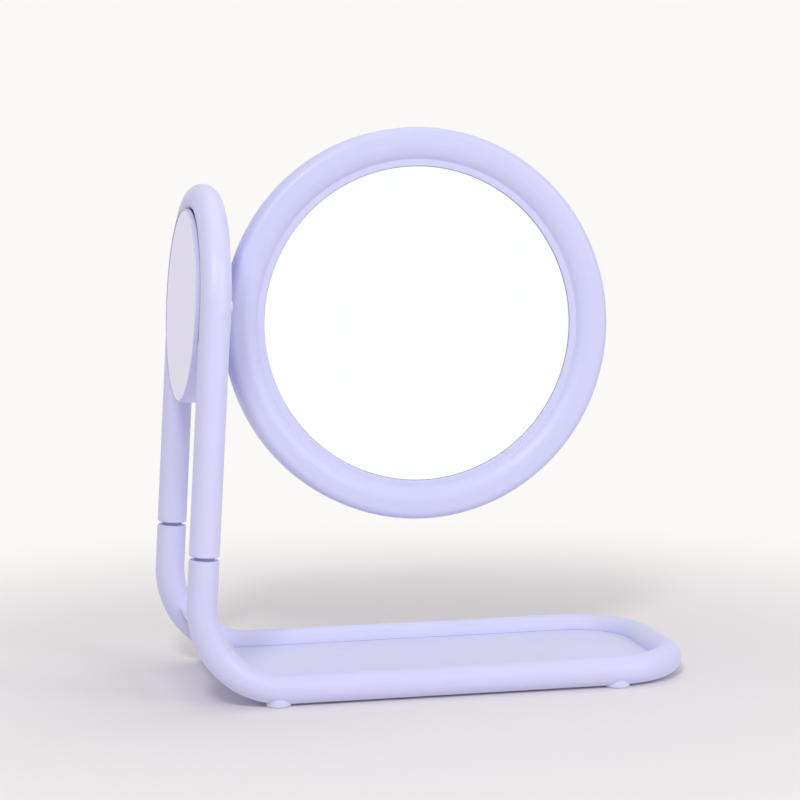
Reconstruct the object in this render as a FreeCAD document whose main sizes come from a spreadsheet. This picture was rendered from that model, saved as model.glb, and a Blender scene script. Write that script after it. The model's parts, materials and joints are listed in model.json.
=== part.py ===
"""Table mirror on a tray stand, modelled as an assembly of separate pieces.

A round tube is bent into a tray loop whose two ends turn up into legs. An arch plugs onto the
legs and holds a round drum with a small mirror. A friction swivel in the drum carries the large
round mirror by its edge. Millimetres, +X from the arch to the free end of the tray, +Z up.
"""
import FreeCAD, Part
import math
import os

import Sketcher
from FreeCAD import Placement, Rotation, Vector

DRIVING_SIZES = {
    # Stand: tray loop, bends and legs
    "tube_dia": 14.0,
    "leg_spacing": 100.0,
    "straight_run": 158.25,
    "corner_radius": 34.0,
    "bend_radius": 39.25,
    "leg_lean": 3.4,
    "stub_length": 20.2,
    "seam_gap": 1.6,
    "leg_length": 109.44,
    "tube_end_ease": 0.5,
    # Tray floor and the web between the bends
    "floor_top": 0.3,
    "floor_thickness": 2.4,
    "floor_seat": 1.5,
    "floor_end": 10.8,
    "seat_clearance": 0.1,
    "web_inset": 0.8,
    "web_thickness": 2.0,
    "web_top_angle": 62.8,
    "web_foot_angle": 22.0,
    "riser_lean": 2.0,
    "riser_height": 4.9,
    "web_ledge": 3.0,
    "web_ledge_depth": 2.0,
    # Feet
    "foot_dia": 11.6,
    "foot_height": 0.8,
    "foot_edge": 1.0,
    "foot_stem_dia": 5.0,
    "foot_stem_length": 5.0,
    "foot_setback": 4.25,
    # Pegs that join the arch to the legs
    "peg_dia": 9.0,
    "peg_depth": 11.0,
    "peg_chamfer": 0.8,
    "fit_clearance": 0.05,
    # Drum in the arch
    "drum_half": 8.4,
    "rim_overlap": 2.0,
    "drum_edge": 1.6,
    "drum_clearance": 0.8,
    "drum_wall": 1.6,
    "front_plate": 2.4,
    "back_plate": 1.8,
    "bezel_width": 0.6,
    "bezel_edge": 0.4,
    "side_glass_thickness": 1.8,
    "side_pad_thickness": 0.3,
    "glass_recess": 0.2,
    "pad_margin": 3.2,
    # Side pins and their screws
    "pin_dia": 6.0,
    "pin_wall": 3.5,
    "pin_engage": 3.5,
    "pin_rise": 3.9,
    "pin_screw_dia": 3.0,
    "pin_screw_head_dia": 7.6,
    "pin_screw_head_height": 2.4,
    "pin_screw_dome": 1.2,
    "pin_screw_proud": 0.8,
    # Screws that close the drum
    "drum_screw_circle": 60.0,
    "drum_screw_count": 3,
    "drum_screw_dia": 2.5,
    "drum_screw_head_dia": 5.2,
    "drum_screw_head_height": 1.2,
    "drum_screw_length": 7.0,
    "drum_boss_dia": 7.0,
    # Friction swivel
    "axis_drop": 5.8,
    "swivel_boss_dia": 18.0,
    "swivel_boss_step": 1.2,
    "swivel_boss_inset": 0.7,
    "shaft_dia": 6.0,
    "bush_wall": 1.5,
    "bush_flange": 1.0,
    "running_clearance": 0.05,
    "washer_clearance": 0.3,
    "washer_thickness": 0.6,
    "washer_dia": 13.0,
    "spring_thickness": 1.0,
    "nut_thickness": 3.0,
    "nut_width": 10.0,
    "thread_dia": 5.0,
    "thread_end": 0.8,
    "collar_dia": 13.0,
    "collar_thickness": 1.5,
    "neck_dia": 10.0,
    "tang_dia": 5.0,
    # Large round mirror
    "mirror_glass_dia": 152.4,
    "mirror_glass_thickness": 2.5,
    "mirror_pad_thickness": 2.0,
    "glass_edge_clearance": 0.2,
    "mirror_tilt": 3.4,
    "head_gap": 12.6,
    "ring_width": 16.6,
    "ring_flank": 4.4,
    "ring_shoulder": 4.0,
    "ring_crown_width": 3.6,
    "ring_wall": 2.2,
    "crease_height": 4.2,
    "crease_wall": 0.8,
    "lip_overlap": 1.6,
    "lip_width": 3.0,
    "lip_height": 4.5,
    "seam_ease": 0.25,
    "anchor_angle": 16.0,
    "anchor_relief": 2.4,
    "anchor_side_gap": 0.5,
    "anchor_clearance": 0.1,
    "anchor_pin_dia": 3.0,
}

doc = FreeCAD.newDocument("table_mirror")
sheet = doc.addObject("Spreadsheet::Sheet", "sizes")
for row, (alias, value) in enumerate(DRIVING_SIZES.items(), start=1):
    sheet.set("A%d" % row, alias.replace("_", " "))
    sheet.set("B%d" % row, str(value))
    sheet.setAlias("B%d" % row, alias)
doc.recompute()


def value_of(expression):
    """Number that an expression on the sheet's aliases gives."""
    result = sheet.evalExpression(linked(expression))
    return float(getattr(result, "Value", result))


def linked(expression):
    """The expression with each alias spelt as a reference to the sheet."""
    words = []
    word = ""
    for letter in expression + " ":
        if letter.isalnum() or letter == "_":
            word += letter
            continue
        words.append("sizes." + word if word in DRIVING_SIZES else word)
        words.append(letter)
        word = ""
    return "".join(words).strip()


def bind(item, prop, expression):
    """Tie one property to the sheet."""
    item.setExpression(prop, linked(expression))


SUB_PARTS = []


def new_body(label):
    body = doc.addObject("PartDesign::Body", label)
    body.Label = label
    SUB_PARTS.append(body)
    return body


def as_form(body):
    """Keep a body as the form of a boolean only, and not as a sub-part."""
    SUB_PARTS.remove(body)
    return body


def cut_by(label, base, form):
    cut = doc.addObject("Part::Cut", label)
    cut.Label = label
    cut.Base = base
    cut.Tool = form
    return cut


def origin_plane(body, role):
    return next(item for item in body.Origin.OriginFeatures if item.Role == role)


def new_sketch(body, role, offset=None):
    sketch = body.newObject("Sketcher::SketchObject", body.Label + "_sketch")
    sketch.AttachmentSupport = [(origin_plane(body, role), "")]
    sketch.MapMode = "FlatFace"
    if offset is not None:
        sketch.AttachmentOffset = offset
    return sketch


def pin_point(sketch, geometry, end, corner):
    """Hold one point of the sketch at the sheet's coordinates."""
    for kind, expression in zip(("DistanceX", "DistanceY"), corner):
        index = sketch.addConstraint(
            Sketcher.Constraint(kind, -1, 1, geometry, end, value_of(expression)))
        bind(sketch, "Constraints[%d]" % index, expression)


def bulge_point(start, end, radius):
    """Middle of the arc from start to end; a positive radius bulges to the right of the chord."""
    chord = end - start
    half = chord.Length / 2
    sagitta = abs(radius) - math.sqrt(max(radius * radius - half * half, 0.0))
    side = Vector(chord.y, -chord.x, 0).normalize()
    return (start + end) * 0.5 + side * math.copysign(sagitta, radius)


def draw_outline(sketch, corners, closed=True):
    """Lines and arcs through the corners. A corner is (x, y) or (x, y, radius of the arc after it)."""
    points = [Vector(value_of(c[0]), value_of(c[1]), 0) for c in corners]
    count = len(corners) if closed else len(corners) - 1
    ends = []
    for number in range(count):
        start = points[number]
        end = points[(number + 1) % len(points)]
        if len(corners[number]) == 3:
            radius = value_of(corners[number][2])
            index = sketch.addGeometry(Part.Arc(start, bulge_point(start, end, radius), end))
            flipped = (sketch.getPoint(index, 1) - start).Length > 1e-6
            ends.append((index, 2, 1) if flipped else (index, 1, 2))
        else:
            index = sketch.addGeometry(Part.LineSegment(start, end))
            ends.append((index, 1, 2))
    for number in range(count if closed else count - 1):
        index, _, last = ends[number]
        follower, first, _ = ends[(number + 1) % count]
        sketch.addConstraint(Sketcher.Constraint("Coincident", index, last, follower, first))
    for number in range(count):
        index, first, last = ends[number]
        pin_point(sketch, index, first, corners[number])
        if not closed and number == count - 1:
            pin_point(sketch, index, last, corners[-1])
        if len(corners[number]) == 3:
            radius = sketch.addConstraint(
                Sketcher.Constraint("Radius", index, abs(value_of(corners[number][2]))))
            bind(sketch, "Constraints[%d]" % radius, "abs(%s)" % corners[number][2])
    return sketch


def draw_circle(sketch, centre, radius):
    index = sketch.addGeometry(Part.Circle(
        Vector(value_of(centre[0]), value_of(centre[1]), 0), Vector(0, 0, 1), value_of(radius)))
    pin_point(sketch, index, 3, centre)
    constraint = sketch.addConstraint(Sketcher.Constraint("Radius", index, value_of(radius)))
    bind(sketch, "Constraints[%d]" % constraint, radius)
    return sketch


def turn(body, corners, axis="H_Axis", angle=None, cut=False):
    """Revolution, or Groove, of an outline in the XZ plane about X (H_Axis) or Z (V_Axis)."""
    sketch = draw_outline(new_sketch(body, "XZ_Plane"), corners)
    feature = body.newObject("PartDesign::Groove" if cut else "PartDesign::Revolution",
                             body.Label + "_turned")
    feature.Profile = sketch
    feature.ReferenceAxis = (sketch, [axis])
    if angle is None:
        feature.Angle = 360
    else:
        bind(feature, "Angle", angle)
        feature.Midplane = True
    return feature


def turned_body(label, corners, axis="H_Axis"):
    body = new_body(label)
    turn(body, corners, axis)
    return body


def sweep(body, path, profile):
    pipe = body.newObject("PartDesign::AdditivePipe", body.Label + "_pipe")
    pipe.Profile = profile
    pipe.Spine = path
    return pipe


def bore(body, radius, length, position, direction, add=False):
    """Cylindrical hole, or boss, that starts at position and runs along direction."""
    kind = "PartDesign::AdditiveCylinder" if add else "PartDesign::SubtractiveCylinder"
    feature = body.newObject(kind, body.Label + ("_boss" if add else "_bore"))
    bind(feature, "Radius", radius)
    bind(feature, "Height", length)
    feature.Placement = Placement(position, Rotation(Vector(0, 0, 1), direction))
    return feature


def ease_end(body, position, direction):
    """The last bit of a tube's end, tapered so that the edge is not sharp."""
    cone = body.newObject("PartDesign::AdditiveCone", body.Label + "_end")
    bind(cone, "Radius1", "tube_dia / 2")
    bind(cone, "Radius2", "tube_dia / 2 - tube_end_ease")
    bind(cone, "Height", "tube_end_ease")
    cone.Placement = Placement(position, Rotation(Vector(0, 0, 1), direction))


# Frames. The stand's own frame starts at the bends, on the tube's centre plane.
tube_radius = value_of("tube_dia / 2")
half_spacing = value_of("leg_spacing / 2")
lean = math.radians(sheet.leg_lean)
overall_length = value_of("bend_radius + straight_run + corner_radius + tube_dia")
stand_place = Placement(
    Vector(value_of("bend_radius + tube_dia / 2") - overall_length / 2, 0,
           value_of("foot_height + tube_dia / 2")), Rotation())
leg_direction = Vector(math.sin(lean), 0, math.cos(lean))
leg_start = Vector(-sheet.bend_radius * math.cos(lean), 0,
                   sheet.bend_radius * (1 + math.sin(lean)))
drum_centre = leg_start + leg_direction * value_of("stub_length + seam_gap + leg_length")
drum_place = stand_place * Placement(drum_centre, Rotation(Vector(0, 1, 0), sheet.leg_lean))
swivel_place = stand_place * Placement(drum_centre, Rotation(Vector(0, 1, 0), sheet.axis_drop))
head_place = swivel_place * Placement(Vector(), Rotation(Vector(1, 0, 0), -sheet.mirror_tilt))
FACE_FORWARD = 90
RING_OUTSIDE = "(mirror_glass_dia / 2 + ring_width)"
MIRROR_REACH = "(" + RING_OUTSIDE + " + head_gap)"
mirror_place = head_place * Placement(
    Vector(value_of(MIRROR_REACH), 0, 0), Rotation(Vector(1, 0, 0), FACE_FORWARD))
SIDES = {"front": -1, "rear": 1}


def leg_point(along, side=0):
    """Point on a leg's centre line, in the stand's frame."""
    return leg_start + leg_direction * along + Vector(0, side * half_spacing, 0)


# Stand frame: one tube bent into the tray loop, with legs and the web between the bends
FLOOR_BOTTOM = "floor_top - floor_thickness"
TUBE = "tube_dia / 2"
HALF = "leg_spacing / 2"


def make_stand_tube(label):
    """The bare tube: half of it is swept in the tray plane and up the leg, then mirrored."""
    body = new_body(label)
    profile = draw_circle(new_sketch(body, "YZ_Plane"), ("-" + HALF, "0"), TUBE)
    corner_end = "straight_run + corner_radius"
    loop_path = draw_outline(new_sketch(body, "XY_Plane"), [
        ("0", "-" + HALF),
        ("straight_run", "-" + HALF, "corner_radius"),
        (corner_end, "corner_radius - " + HALF),
        (corner_end, "0")], closed=False)
    loop = sweep(body, loop_path, profile)
    bend_end_x = "-bend_radius * cos(leg_lean)"
    bend_end_z = "bend_radius * (1 + sin(leg_lean))"
    leg_offset = Placement(Vector(0, 0, half_spacing), Rotation())
    leg_path = new_sketch(body, "XZ_Plane", leg_offset)
    bind(leg_path, "AttachmentOffset.Base.z", HALF)
    draw_outline(leg_path, [
        ("0", "0", "-bend_radius"),
        (bend_end_x, bend_end_z),
        (bend_end_x + " + (stub_length - tube_end_ease) * sin(leg_lean)",
         bend_end_z + " + (stub_length - tube_end_ease) * cos(leg_lean)")], closed=False)
    leg_profile = draw_circle(new_sketch(body, "YZ_Plane"), ("-" + HALF, "0"), TUBE)
    leg = sweep(body, leg_path, leg_profile)
    mirrored = body.newObject("PartDesign::Mirrored", label + "_mirrored")
    mirrored.Originals = [loop, leg]
    mirrored.MirrorPlane = (origin_plane(body, "XZ_Plane"), [""])
    body.Tip = mirrored
    return body


def floor_outline(sketch, margin):
    """Tray floor seen from above, with a rounded free end, grown by margin all round."""
    half_width = HALF + " - " + TUBE + " + floor_seat + " + margin
    far_end = "straight_run + corner_radius - " + TUBE + " + floor_seat + " + margin
    round_end = "corner_radius - " + TUBE + " + floor_seat + " + margin
    return draw_outline(sketch, [
        ("-floor_end", "-(" + half_width + ")"),
        ("straight_run", "-(" + half_width + ")", round_end),
        (far_end, "-(" + half_width + ") + " + round_end),
        (far_end, half_width + " - (" + round_end + ")", round_end),
        ("straight_run", half_width),
        ("-floor_end", half_width)])


def extrude(body, sketch, length, cut=False, midplane=False):
    feature = body.newObject("PartDesign::Pocket" if cut else "PartDesign::Pad",
                             body.Label + "_extruded")
    feature.Profile = sketch
    bind(feature, "Length", length)
    feature.Midplane = midplane
    return feature


base_frame = make_stand_tube("base_frame")

web_sketch = new_sketch(base_frame, "XZ_Plane")


def web_x(radius, angle):
    return "-%s * sin(%s)" % (radius, angle)


def web_z(radius, angle):
    return "bend_radius - %s * cos(%s)" % (radius, angle)


WEB_INSIDE = "(bend_radius - web_inset)"
WEB_OUTSIDE = "(" + WEB_INSIDE + " + web_thickness)"
CROWN_RATIO = 0.6
web_underside = FLOOR_BOTTOM + " - web_ledge_depth"
draw_outline(web_sketch, [
    (web_x(WEB_INSIDE, "web_top_angle"), web_z(WEB_INSIDE, "web_top_angle"), WEB_INSIDE),
    ("-floor_end - riser_lean", "floor_top + riser_height"),
    ("-floor_end", "floor_top"),
    ("web_ledge - floor_end", "floor_top"),
    ("web_ledge - floor_end", web_underside),
    ("-floor_end - web_ledge", web_underside),
    (web_x(WEB_OUTSIDE, "web_foot_angle"), web_z(WEB_OUTSIDE, "web_foot_angle"),
     "-" + WEB_OUTSIDE),
    (web_x(WEB_OUTSIDE, "web_top_angle"), web_z(WEB_OUTSIDE, "web_top_angle"),
     "-web_thickness * %g" % CROWN_RATIO)])
extrude(base_frame, web_sketch, "leg_spacing", midplane=True)

seat_sketch = new_sketch(base_frame, "XY_Plane", Placement(Vector(), Rotation()))
bind(seat_sketch, "AttachmentOffset.Base.z", "floor_top + seat_clearance")
floor_outline(seat_sketch, "seat_clearance")
extrude(base_frame, seat_sketch, "floor_thickness + 2 * seat_clearance", cut=True)

FOOT_PLACES = {
    "foot_front_left": (-sheet.foot_setback, -1),
    "foot_rear_left": (-sheet.foot_setback, 1),
    "foot_front_right": (sheet.straight_run, -1),
    "foot_rear_right": (sheet.straight_run, 1),
}
for along, side in FOOT_PLACES.values():
    bore(base_frame, "foot_stem_dia / 2", "foot_stem_length",
         Vector(along, side * half_spacing, -tube_radius), Vector(0, 0, 1))
for side in SIDES.values():
    ease_end(base_frame, leg_point(sheet.stub_length - sheet.tube_end_ease, side), leg_direction)
    bore(base_frame, "peg_dia / 2 + fit_clearance", "peg_depth",
         leg_point(sheet.stub_length - sheet.peg_depth, side), leg_direction)
base_frame.Placement = stand_place

# Tray floor: a flat panel let into the inner side of the tube
tray_floor = new_body("tray_floor")
floor_sketch = new_sketch(tray_floor, "XY_Plane", Placement(Vector(), Rotation()))
bind(floor_sketch, "AttachmentOffset.Base.z", FLOOR_BOTTOM)
floor_outline(floor_sketch, "0")
extrude(tray_floor, floor_sketch, "floor_thickness")
tray_floor.Placement = stand_place

# Feet: soft pads with a saddle top that hugs the tube and a stem that plugs into it
tube_form = as_form(make_stand_tube("tube_form"))
tube_form.Placement = stand_place


def make_foot(label, along, side):
    place = stand_place * Placement(Vector(along, side * half_spacing, 0), Rotation())
    pad = as_form(new_body(label + "_pad"))
    sole = "-" + TUBE + " - foot_height"
    turn(pad, [
        ("0", sole),
        ("foot_dia / 2 - foot_edge", sole, "foot_edge"),
        ("foot_dia / 2", sole + " + foot_edge"),
        ("foot_dia / 2", "0"),
        ("0", "0")], "V_Axis")
    pad.Placement = place
    saddle = cut_by(label + "_saddle", pad, tube_form)
    stem = doc.addObject("Part::Cylinder", label + "_stem")
    bind(stem, "Radius", "foot_stem_dia / 2")
    bind(stem, "Height", "foot_stem_length")
    stem.Placement = place * Placement(Vector(0, 0, -tube_radius), Rotation())
    foot = doc.addObject("Part::Fuse", label)
    foot.Label = label
    foot.Base = saddle
    foot.Tool = stem
    SUB_PARTS.append(foot)


for label, (along, side) in FOOT_PLACES.items():
    make_foot(label, along, side)

# Pegs: they join the arch to the legs and show as a dark neck in each seam
for label, side in SIDES.items():
    half_peg = "(peg_depth + seam_gap / 2)"
    peg = turned_body("leg_peg_" + label, [
        ("0", "-" + half_peg),
        ("peg_dia / 2 - peg_chamfer", "-" + half_peg),
        ("peg_dia / 2", "peg_chamfer - " + half_peg),
        ("peg_dia / 2", half_peg + " - peg_chamfer"),
        ("peg_dia / 2 - peg_chamfer", half_peg),
        ("0", half_peg)], "V_Axis")
    peg.Placement = stand_place * Placement(
        leg_point(value_of("stub_length + seam_gap / 2"), side),
        Rotation(Vector(0, 1, 0), sheet.leg_lean))

# Arch: one tube bent over the drum, in the drum's frame
def make_arch_tube(label, radius):
    body = new_body(label)
    path = draw_outline(new_sketch(body, "YZ_Plane"), [
        ("-" + HALF, "tube_end_ease - leg_length"),
        ("-" + HALF, "0", "-" + HALF),
        ("0", HALF, "-" + HALF),
        (HALF, "0"),
        (HALF, "tube_end_ease - leg_length")], closed=False)
    profile = new_sketch(body, "XY_Plane", Placement(Vector(), Rotation()))
    bind(profile, "AttachmentOffset.Base.z", "tube_end_ease - leg_length")
    draw_circle(profile, ("0", "-" + HALF), radius)
    sweep(body, path, profile)
    body.Placement = drum_place
    return body


arch = make_arch_tube("arch", TUBE)
SCREW_SEAT = "(tube_dia / 2 + pin_screw_proud - pin_screw_head_height)"
for side in SIDES.values():
    leg_foot = Vector(0, side * half_spacing, -sheet.leg_length)
    ease_end(arch, leg_foot + Vector(0, 0, sheet.tube_end_ease), Vector(0, 0, -1))
    bore(arch, "peg_dia / 2 + fit_clearance", "peg_depth", leg_foot, Vector(0, 0, 1))
    inner_side = Vector(0, side * value_of(HALF + " - tube_dia"), sheet.pin_rise)
    bore(arch, "pin_dia / 2 + fit_clearance", "1.5 * tube_dia - pin_wall + fit_clearance",
         inner_side, Vector(0, side, 0))
    outside = Vector(sheet.tube_dia, side * half_spacing, sheet.pin_rise)
    bore(arch, "pin_screw_head_dia / 2 + fit_clearance", "tube_dia - " + SCREW_SEAT,
         outside, Vector(-1, 0, 0))
    bore(arch, "pin_screw_dia / 2 + fit_clearance", "tube_dia", outside, Vector(-1, 0, 0))

# Drum: two moulded halves whose rim laps over the arch and is grooved to clear the tube
RIM = "(leg_spacing / 2 - tube_dia / 2 + rim_overlap)"
CAVITY = "(leg_spacing / 2 - tube_dia / 2 - drum_clearance - drum_wall)"
GLASS_SEAT = "(glass_recess + side_glass_thickness + side_pad_thickness - drum_half)"
FRONT_PLATE_INSIDE = "(" + GLASS_SEAT + " + front_plate)"
BACK_PLATE_INSIDE = "(drum_half - back_plate)"
SIDE_GLASS = "(" + RIM + " - bezel_width)"
SIDE_GLASS_BORE = SIDE_GLASS + " + seat_clearance"

drum_front_form = as_form(turned_body("drum_front_form", [
    ("-drum_half", SIDE_GLASS_BORE),
    ("-drum_half", RIM + " - bezel_edge", "-bezel_edge"),
    ("bezel_edge - drum_half", RIM),
    ("-seam_ease", RIM),
    ("0", RIM + " - seam_ease"),
    ("0", CAVITY),
    (FRONT_PLATE_INSIDE, CAVITY),
    (FRONT_PLATE_INSIDE, "0"),
    (GLASS_SEAT, "0"),
    (GLASS_SEAT, SIDE_GLASS_BORE)]))
drum_back_form = as_form(turned_body("drum_back_form", [
    ("0", CAVITY),
    ("0", RIM + " - seam_ease"),
    ("seam_ease", RIM),
    ("drum_half - drum_edge", RIM, "-drum_edge"),
    ("drum_half", RIM + " - drum_edge"),
    ("drum_half", "0"),
    (BACK_PLATE_INSIDE, "0"),
    (BACK_PLATE_INSIDE, CAVITY)]))


def polar(body, originals, count):
    pattern = body.newObject("PartDesign::PolarPattern", body.Label + "_pattern")
    pattern.Originals = originals
    pattern.Axis = (origin_plane(body, "X_Axis"), [""])
    pattern.Angle = 360
    bind(pattern, "Occurrences", count)
    body.Tip = pattern
    return pattern


AXIAL = Vector(1, 0, 0)
screw_circle = value_of("drum_screw_circle / 2")
plate_inside = Vector(value_of(FRONT_PLATE_INSIDE), 0, screw_circle)
glass_seat = Vector(value_of(GLASS_SEAT), 0, screw_circle)
boss = bore(drum_back_form, "drum_boss_dia / 2", BACK_PLATE_INSIDE + " - " + FRONT_PLATE_INSIDE,
            plate_inside, AXIAL, add=True)
boss_hole = bore(drum_back_form, "drum_screw_dia / 2", "drum_screw_length", plate_inside, AXIAL)
polar(drum_back_form, [boss, boss_hole], "drum_screw_count")
head_hole = bore(drum_front_form, "drum_screw_head_dia / 2 + fit_clearance",
                 "drum_screw_head_height", glass_seat, AXIAL)
shank_hole = bore(drum_front_form, "drum_screw_dia / 2 + fit_clearance", "front_plate",
                  glass_seat, AXIAL)
polar(drum_front_form, [head_hole, shank_hole], "drum_screw_count")

SHAFT = "shaft_dia / 2"
BUSH_BORE = "(shaft_dia / 2 + running_clearance)"
BUSH_OUTSIDE = "(" + BUSH_BORE + " + bush_wall)"
BOSS_INSIDE = "(drum_half - back_plate - swivel_boss_inset)"
BOSS_OUTSIDE = "(drum_half + swivel_boss_step)"
swivel_axis = Rotation(Vector(0, 1, 0), sheet.axis_drop - sheet.leg_lean).multVec(AXIAL)
bore(drum_back_form, "swivel_boss_dia / 2", BOSS_OUTSIDE + " - " + BOSS_INSIDE,
     swivel_axis * value_of(BOSS_INSIDE), swivel_axis, add=True)
bore(drum_back_form, BUSH_OUTSIDE + " + fit_clearance", "2 * drum_half",
     Vector(), swivel_axis)
arch_form = as_form(make_arch_tube("arch_form", TUBE + " + drum_clearance"))
for label, form in (("drum_front_shell", drum_front_form), ("drum_back_shell", drum_back_form)):
    for side in SIDES.values():
        bore(form, "pin_dia / 2 + fit_clearance", "tube_dia",
             Vector(0, side * (half_spacing - 2 * tube_radius), sheet.pin_rise),
             Vector(0, side, 0))
    form.Placement = drum_place
    SUB_PARTS.append(cut_by(label, form, arch_form))

side_glass_face = "(glass_recess - drum_half)"
side_glass_back = "(glass_recess - drum_half + side_glass_thickness)"
turned_body("side_mirror_glass", [
    (side_glass_face, "0"),
    (side_glass_face, SIDE_GLASS),
    (side_glass_back, SIDE_GLASS),
    (side_glass_back, "0")]).Placement = drum_place
turned_body("side_mirror_pad", [
    (side_glass_back, "0"),
    (side_glass_back, SIDE_GLASS + " - pad_margin"),
    (GLASS_SEAT, SIDE_GLASS + " - pad_margin"),
    (GLASS_SEAT, "0")]).Placement = drum_place


def screw_group(label, head, shank_end, shank_radius, places):
    """Identical screws along X, one solid at each place, as one node. head is its outline."""
    copies = []
    head_end = head[-1][0]
    for number, place in enumerate(places):
        screw = as_form(turned_body("%s_%d" % (label, number), head + [
            (head_end, shank_radius),
            (shank_end, shank_radius),
            (shank_end, "0")]))
        screw.Placement = place
        copies.append(screw)
    group = doc.addObject("Part::Compound", label)
    group.Label = label
    group.Links = copies
    SUB_PARTS.append(group)


screw_places = [
    drum_place * Placement(Rotation(AXIAL, 360 * number / sheet.drum_screw_count).multVec(
        Vector(0, 0, screw_circle)), Rotation())
    for number in range(int(sheet.drum_screw_count))]
screw_group("drum_screws", [
    (GLASS_SEAT, "0"),
    (GLASS_SEAT, "drum_screw_head_dia / 2"),
    (GLASS_SEAT + " + drum_screw_head_height", "drum_screw_head_dia / 2")],
    GLASS_SEAT + " + front_plate + drum_screw_length - drum_screw_head_height",
    "drum_screw_dia / 2", screw_places)
turned_over = Rotation(Vector(0, 0, 1), 180)
pin_screw_places = [
    drum_place * Placement(Vector(0, side * half_spacing, sheet.pin_rise), turned_over)
    for side in SIDES.values()]
DOME_TOP = "(-tube_dia / 2 - pin_screw_proud)"
HEAD_RADIUS = "pin_screw_head_dia / 2"
dome_radius = "(%s * %s + pin_screw_dome * pin_screw_dome) / (2 * pin_screw_dome)" % (
    HEAD_RADIUS, HEAD_RADIUS)
screw_group("pin_screws", [
    (DOME_TOP, "0", "-" + dome_radius),
    (DOME_TOP + " + pin_screw_dome", HEAD_RADIUS),
    ("-" + SCREW_SEAT, HEAD_RADIUS)],
    "pin_dia / 2 - pin_screw_dia / 2", "pin_screw_dia / 2", pin_screw_places)

for label, side in SIDES.items():
    pin_start = HALF + " - tube_dia / 2 - pin_engage"
    pin_end = HALF + " + tube_dia / 2 - pin_wall"
    pin = turned_body("drum_pin_" + label, [
        (pin_start, "0"),
        (pin_start, "pin_dia / 2"),
        (pin_end, "pin_dia / 2"),
        (pin_end, "0")])
    bore(pin, "pin_screw_dia / 2", "pin_dia", Vector(half_spacing, -sheet.pin_dia / 2, 0),
         Vector(0, 1, 0))
    pin.Placement = drum_place * Placement(
        Vector(0, 0, sheet.pin_rise), Rotation(Vector(0, 0, 1), 90 * side))

# Friction swivel: bush, washers, disc spring and nut on a stepped shaft
BUSH_INSIDE = "(" + BOSS_INSIDE + " - bush_flange)"
WASHER_INSIDE = "(" + BUSH_INSIDE + " - washer_thickness)"
SPRING_TOP = "(" + WASHER_INSIDE + " - running_clearance)"
NUT_TOP = "(" + SPRING_TOP + " - spring_thickness)"
NUT_END = "(" + NUT_TOP + " - nut_thickness)"
COLLAR_START = "(" + BOSS_OUTSIDE + " + washer_thickness + running_clearance)"
COLLAR_END = "(" + COLLAR_START + " + collar_thickness)"
WASHER_BORE = "shaft_dia / 2 + washer_clearance"
turned_body("swivel_bush", [
    (BUSH_INSIDE, BUSH_BORE),
    (BUSH_INSIDE, "washer_dia / 2"),
    (BOSS_INSIDE, "washer_dia / 2"),
    (BOSS_INSIDE, BUSH_OUTSIDE),
    (BOSS_OUTSIDE, BUSH_OUTSIDE),
    (BOSS_OUTSIDE, BUSH_BORE)]).Placement = swivel_place
for label, start, end in (("inner_washer", WASHER_INSIDE, BUSH_INSIDE),
                          ("outer_washer", BOSS_OUTSIDE, BOSS_OUTSIDE + " + washer_thickness")):
    turned_body(label, [
        (start, WASHER_BORE),
        (start, "washer_dia / 2"),
        (end, "washer_dia / 2"),
        (end, WASHER_BORE)]).Placement = swivel_place
spring_bore = "shaft_dia / 2 + fit_clearance"
turned_body("disc_spring", [
    (NUT_TOP, spring_bore),
    (NUT_TOP + " + spring_thickness / 2", spring_bore),
    (SPRING_TOP, "washer_dia / 2 - washer_clearance"),
    (NUT_TOP + " + spring_thickness / 2", "washer_dia / 2 - washer_clearance")
]).Placement = head_place

lock_nut = new_body("lock_nut")
nut_sketch = new_sketch(lock_nut, "YZ_Plane", Placement(Vector(), Rotation()))
bind(nut_sketch, "AttachmentOffset.Base.z", NUT_END)
across_corners = "nut_width / (2 * cos(30))"
draw_outline(nut_sketch, [
    (across_corners + " * cos(%d)" % turn_angle, across_corners + " * sin(%d)" % turn_angle)
    for turn_angle in range(0, 360, 60)])
extrude(lock_nut, nut_sketch, "nut_thickness")
bore(lock_nut, "thread_dia / 2", "2 * drum_half", Vector(-sheet.drum_half, 0, 0), AXIAL)
lock_nut.Placement = head_place

GLASS_BORE = "(mirror_glass_dia / 2 + glass_edge_clearance)"
CAVITY_INSIDE = "(" + GLASS_BORE + " + ring_wall)"
CAVITY_OUTSIDE = "(" + RING_OUTSIDE + " - ring_wall)"
ANCHOR_OUTSIDE = "(" + CAVITY_OUTSIDE + " - anchor_clearance)"
ANCHOR_INSIDE = "(" + CAVITY_INSIDE + " + anchor_relief)"
NECK_END = "(head_gap + ring_wall + anchor_clearance / 2)"
TANG_END = "(" + MIRROR_REACH + " - " + ANCHOR_INSIDE + ")"
swivel_shaft = turned_body("swivel_shaft", [
    (NUT_END + " - thread_end", "0"),
    (NUT_END + " - thread_end", "thread_dia / 2"),
    (NUT_TOP, "thread_dia / 2"),
    (NUT_TOP, SHAFT),
    (COLLAR_START, SHAFT),
    (COLLAR_START, "collar_dia / 2"),
    (COLLAR_END, "collar_dia / 2"),
    (COLLAR_END, "neck_dia / 2"),
    (NECK_END, "neck_dia / 2"),
    (NECK_END, "tang_dia / 2"),
    (TANG_END, "tang_dia / 2"),
    (TANG_END, "0")])
anchor_middle = value_of("(" + ANCHOR_INSIDE + " + " + ANCHOR_OUTSIDE + ") / 2")
bore(swivel_shaft, "anchor_pin_dia / 2", "2 * tang_dia",
     Vector(value_of(MIRROR_REACH) - anchor_middle, -sheet.tang_dia, 0), Vector(0, 1, 0))
swivel_shaft.Placement = head_place

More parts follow.
